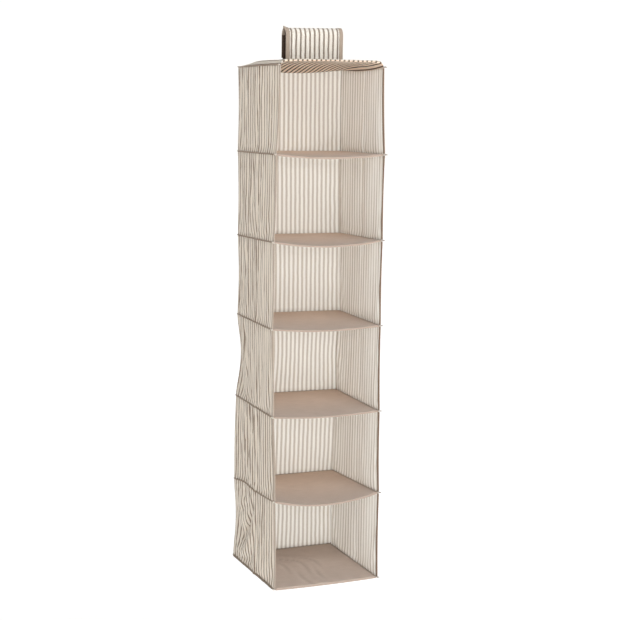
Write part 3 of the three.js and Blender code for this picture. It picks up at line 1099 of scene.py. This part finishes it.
def strap_piece(name, node, edging, surface, rows, length, shaded_lining_face, binding, place):
    """A length of strap with its bindings and stitches. place fixes the motion of each piece.

    The cloth replaces node. The names of the nodes that the bindings replace begin with edging.
    """
    s, t = np.meshgrid(np.linspace(0, 1, 61), np.linspace(0, 1, rows))
    uvs = np.stack([(s - 0.5) * 2 * STRAP_X + STRIPE_PITCH / 2, t * length], axis=-1)
    sheet = cloth(name, surface(s, t), uvs, STRAP_CORE, LIT_STRAP_CLOTH)
    mark(sheet, "Seam", np.clip(1 - np.minimum(t, 1 - t) / 0.04, 0, 1))
    mark(sheet, "LiningAndShade", np.repeat([shaded_lining_face == "outer", shaded_lining_face == "inner"], s.size))
    place(sheet)
    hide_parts(node)
    share = (STRAP_BINDING - TAPE) / (2 * STRAP_X)
    along = np.linspace(0, 1, rows)
    for where, at_end in (("left", False), ("right", True)):
        tape, across, down = edge_tape(
            f"{name}_tape_{where}", surface, along, share, STRAP_CORE / 2, binding, at_end
        )
        place(tape)
        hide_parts(f"{edging}_{where}")
        inset = share * STRAP_STITCH_INSET
        at = np.full(200, 1 - inset if at_end else inset)
        lines = on_both_faces(surface, at, np.linspace(0.01, 0.99, 200), STRAP_CORE / 2 + TAPE)
        sewn = stitches(f"{name}_stitches_{where}", lines, THREAD)
        place(sewn)


def strap():
    def hold(piece):
        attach(piece, "hanger")

    def bend(piece):
        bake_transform(piece)

    front = BEND_Z - STRAP_LOW.z + math.pi * LOOP_MIDDLE
    strap_piece(
        "strap_front", "hanging_strap", "strap_binding",
        strap_front, 73, front, "inner", STRAP_BINDING_CLOTH, hold,
    )
    rear = BEND_Z - FLAP_LOW.z
    strap_piece(
        "strap_rear", "strap_flap", "flap_binding",
        strap_rear, 41, rear, "outer", LINING_AND_SHADE, bend,
    )


def slab(name, node, material, body):
    """A CAD block again as a rounded, finely cut piece of its own."""
    low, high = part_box(node)
    across = np.linspace(low.x, high.x, 60) + STRAP_ASIDE
    x, z = np.meshgrid(across, np.linspace(low.z, high.z, 20))
    ripple = 0.12 * MM * noise(x / (9 * MM), z / (7 * MM), 810)
    y = np.full(x.shape, (low.y + high.y) / 2) + ripple
    points = np.stack([x, y, z], axis=-1)
    uvs = np.stack([x + STRIPE_PITCH / 2, z], axis=-1)
    piece = cloth(name, points, uvs, (high.y - low.y) * 0.85, material)
    mark(piece, "Seam", 0)
    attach(piece, body)
    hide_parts(node)


def fastener():
    slab("hook_strip", "hook_tape", HOOKS, "strap_flap")
    slab("loop_strip", "loop_tape", HOOKS, "hanger")
    slab("rear_tab", "strap_tab", LINING_AND_SHADE, "hanger")


# ---- floor, light and camera


FLOOR_REACH = 60  # metres to either side
FLOOR_DROP = 0.55  # below the object, which hangs
FLOOR_GLOW = 0.3
NEAR, FAR = 1.0, 6.0  # the floor turns white between these distances


def floor():
    """A pale floor that is clear from below, so that the object can be looked at from there."""
    mesh = bpy.data.meshes.new("floor")
    far, level = FLOOR_REACH, CAD_LOW.z - FLOOR_DROP
    corners = [(-far, -far, level), (far, -far, level), (far, far, level), (-far, far, level)]
    mesh.from_pydata(corners, [], [(0, 1, 2, 3)])
    n = Surface("floor", roughness=0.95, specular=0.0)
    place = n.add("ShaderNodeTexCoord", output=3)
    cloudy = n.noise(place, 3, 2)
    distance = n.add("ShaderNodeVectorMath", {0: place}, output=1, operation="LENGTH")
    away = n.ramp(distance, NEAR, FAR)
    pale = n.mix(cloudy, (0.86, 0.86, 0.86), (0.88, 0.88, 0.88))
    n.shader.inputs["Emission Color"].default_value = (1, 1, 1, 1)
    n.feed(n.shader.inputs["Emission Strength"], n.scaled(away, 0.35, FLOOR_GLOW))
    material = n.finish(n.mix(away, pale, (1.0, 1.0, 1.0)), cloudy, 0.5 * MM, 0.1)
    underside = n.add("ShaderNodeNewGeometry", output="Backfacing")
    clear = n.add("ShaderNodeBsdfTransparent")
    shown = n.add("ShaderNodeMixShader", {0: underside, 1: n.shader.outputs[0], 2: clear})
    n.feed(n.tree.nodes["Material Output"].inputs["Surface"], shown)
    mesh.materials.append(material)
    new_object("floor", mesh)


LAMP_COLOR = (0.965, 0.99, 1.0)


def area_light(name, place, aim, size, power):
    data = bpy.data.lights.new(name, "AREA")
    data.color = LAMP_COLOR
    data.shape = "RECTANGLE"
    data.size, data.size_y = size
    data.energy = power
    light = new_object(name, data)
    light.location = place
    way = Vector(aim) - Vector(place)
    light.rotation_euler = way.to_track_quat("-Z", "Y").to_euler()


ROOM_COLOR = (1, 0.985, 0.96, 1)
BACKDROP_LIGHT = 1.05
ROOM_LIGHT = 0.44
LAMPS = {  # where each lamp stands, its width and height, and its power in watts
    "key": ((-0.9, -4.6, -0.85), (1.8, 3.0), 127),
    "above": ((0.2, -3.3, 1.9), (2.4, 1.6), 90),
    "side": ((3.4, 0.6, -0.4), (1.6, 2.6), 55),
}


def lights():
    """Three soft lamps in a dim room, with a bright backdrop behind the object, +Y.

    Where the room itself is looked at, it is as bright as the backdrop from every side.
    """
    middle = (0, 0, (CAD_LOW.z + CAD_HIGH.z) / 2)
    for name, (place, size, power) in LAMPS.items():
        area_light(name, place, middle, size, power)
    world = bpy.data.worlds.new("studio")
    world.use_nodes = True
    n = Nodes(world.node_tree)
    background = n.tree.nodes["Background"]
    background.inputs["Color"].default_value = ROOM_COLOR
    way = n.add("ShaderNodeTexCoord", output="Generated")
    back = n.add("ShaderNodeSeparateXYZ", {0: way}, output="Y")
    spread = {"Value": back, "From Min": 0.55, "From Max": 0.85}
    bright = {"To Min": ROOM_LIGHT, "To Max": BACKDROP_LIGHT}
    level = n.add("ShaderNodeMapRange", spread | bright, interpolation_type="SMOOTHSTEP")
    seen = n.add("ShaderNodeLightPath", output="Is Camera Ray")
    strength = n.add("ShaderNodeMix", {"Factor": seen, "A": level, "B": BACKDROP_LIGHT})
    n.feed(background.inputs["Strength"], strength)
    bpy.context.scene.world = world
    bpy.context.scene.view_settings.view_transform = "Standard"


CAMERA_TURN_DEG = 21.85
CAMERA_AWAY = 4.03
CAMERA_ASIDE = 0.0065
CAMERA_BELOW_SEAM = 0.1167
CAMERA_TILT_DEG = 7.45
CAMERA_ROLL_DEG = 0.83
CAMERA_LENS = 88.0
CAMERA_SEES = 60  # metres


def camera():
    angles = (CAMERA_TURN_DEG, CAMERA_TILT_DEG, CAMERA_ROLL_DEG)
    turn, tilt, roll = (math.radians(angle) for angle in angles)
    ahead = Vector((math.sin(turn), math.cos(turn), 0))
    right = Vector((math.cos(turn), -math.sin(turn), 0))
    up = Vector((0, 0, 1))
    look = ahead * math.cos(tilt) - up * math.sin(tilt)
    head = up * math.cos(tilt) + ahead * math.sin(tilt)
    x_axis = right * math.cos(roll) + head * math.sin(roll)
    y_axis = head * math.cos(roll) - right * math.sin(roll)
    data = bpy.data.cameras.new("camera")
    data.lens = CAMERA_LENS
    data.clip_end = CAMERA_SEES
    cam = new_object("camera", data)
    turned = Matrix((x_axis, y_axis, -look)).transposed().to_4x4()
    place = right * CAMERA_ASIDE - ahead * CAMERA_AWAY + up * (SEAM_Z[0] - CAMERA_BELOW_SEAM)
    cam.matrix_world = Matrix.Translation(place) @ turned
    bpy.context.scene.camera = cam


# ---- assembly

camera()
lights()
floor()
strap()
fastener()
top_panel()
raised_seam(0)
for number in range(1, COMPARTMENTS + 1):
    shelf(number)
    walls(number)
    raised_seam(number)
